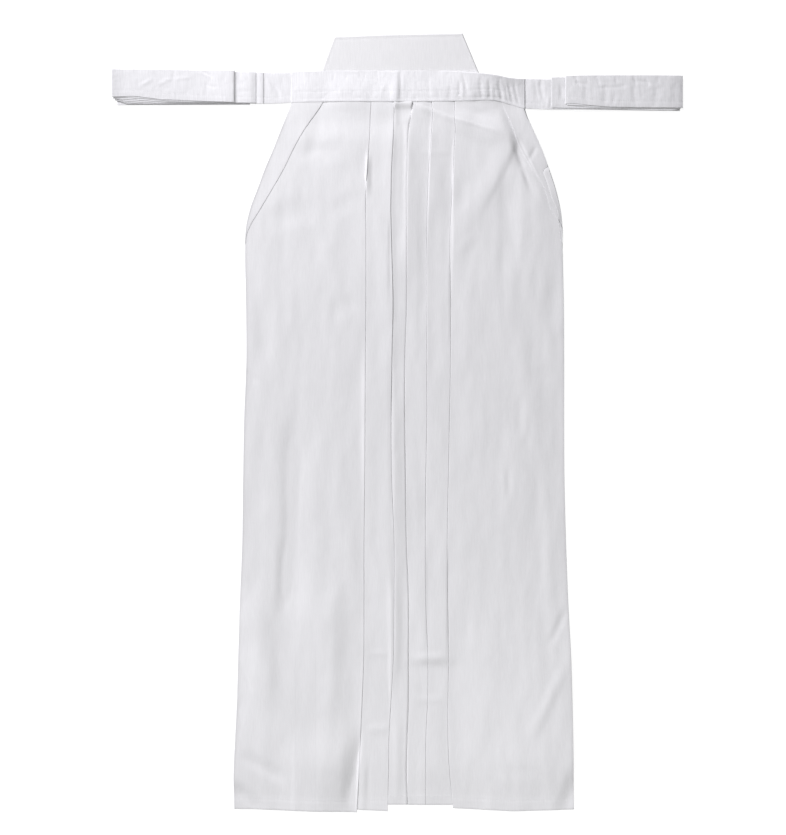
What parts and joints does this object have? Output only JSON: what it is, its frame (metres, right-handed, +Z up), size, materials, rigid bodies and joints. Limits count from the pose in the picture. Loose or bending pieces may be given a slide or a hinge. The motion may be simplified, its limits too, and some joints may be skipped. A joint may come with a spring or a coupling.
{
  "type": "hakama trousers",
  "caption": "White pleated hakama trousers laid out flat with the front up, with a stiff back board and the ties folded into a bundle at each side.",
  "frame": {"origin": "middle of the underside of the whole laid-out garment, on the surface it lies on", "axes": "+Y from the hems to the waist, +X to the wearer's left, +Z up out of the front"},
  "size_m": [0.7694, 1.0514, 0.0116],
  "materials": {
    "body_cloth": "smooth white twill, pressed, slightly creased",
    "band_cloth": "white twill, doubled and topstitched, puckered along the seams",
    "board_cloth": "white twill stretched over a stiff board"
  },
  "bodies": {
    "root": {"koshi_ita": "board_cloth", "front_band": "band_cloth", "front_strap_right": "band_cloth", "front_strap_left": "band_cloth", "back_strap_right": "band_cloth", "back_strap_left": "band_cloth", "front_right_leg": "body_cloth", "front_left_leg": "body_cloth", "back_right_leg": "body_cloth", "back_left_leg": "body_cloth", "side_fold_right": "body_cloth", "side_fold_left": "body_cloth"}
  },
  "joints": []
}
